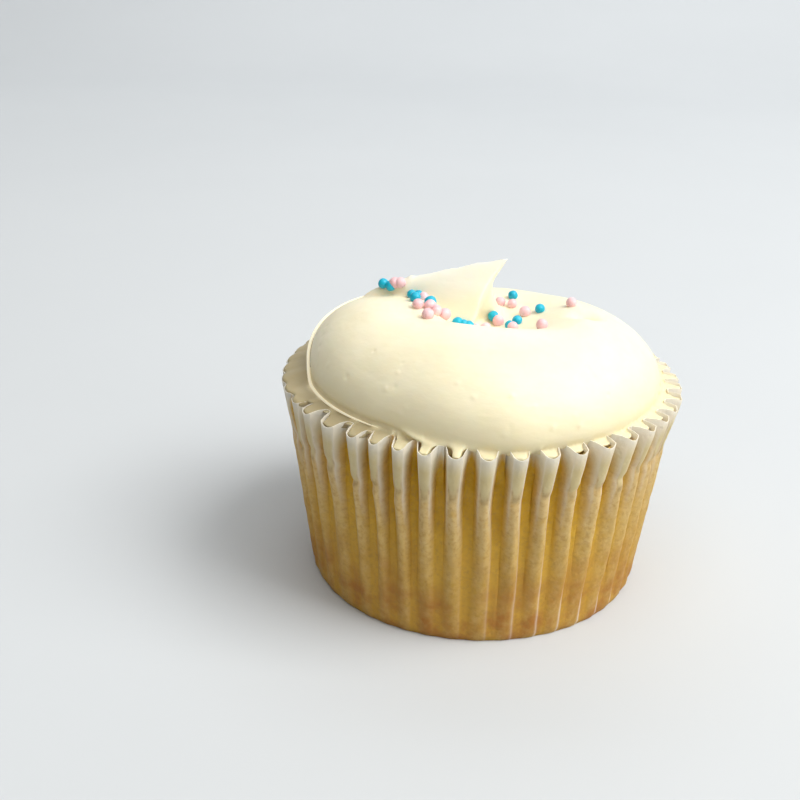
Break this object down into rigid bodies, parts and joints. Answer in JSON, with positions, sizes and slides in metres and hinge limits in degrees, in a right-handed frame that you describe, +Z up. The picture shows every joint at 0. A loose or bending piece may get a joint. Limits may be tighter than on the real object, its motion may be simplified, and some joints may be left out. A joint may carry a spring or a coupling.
{
  "type": "cupcake",
  "caption": "Vanilla cupcake in a pleated paper case, topped with one thick swirl of buttercream with a flicked peak and small sugar pearls in its hollow.",
  "frame": {"origin": "middle of the paper case's flat floor, on the surface it stands on", "axes": "+Z up, -Y towards the front, +X to the right seen from the front"},
  "size_m": [0.0736, 0.0716, 0.0599],
  "materials": {
    "greaseproof_paper": "thin off-white greaseproof paper, pale where it stands free and golden with fine grain where the cake is baked on to it",
    "sponge": "soft golden baked crumb",
    "buttercream": "smooth creamy off-white buttercream with a soft satin sheen, fine pits and ripples",
    "pearl_blue": "turquoise sugar pearls, satin",
    "pearl_pink": "pale pink sugar pearls, satin"
  },
  "bodies": {
    "root": {"paper_case": "greaseproof_paper", "cake": "sponge", "frosting": "buttercream"}
  },
  "joints": []
}
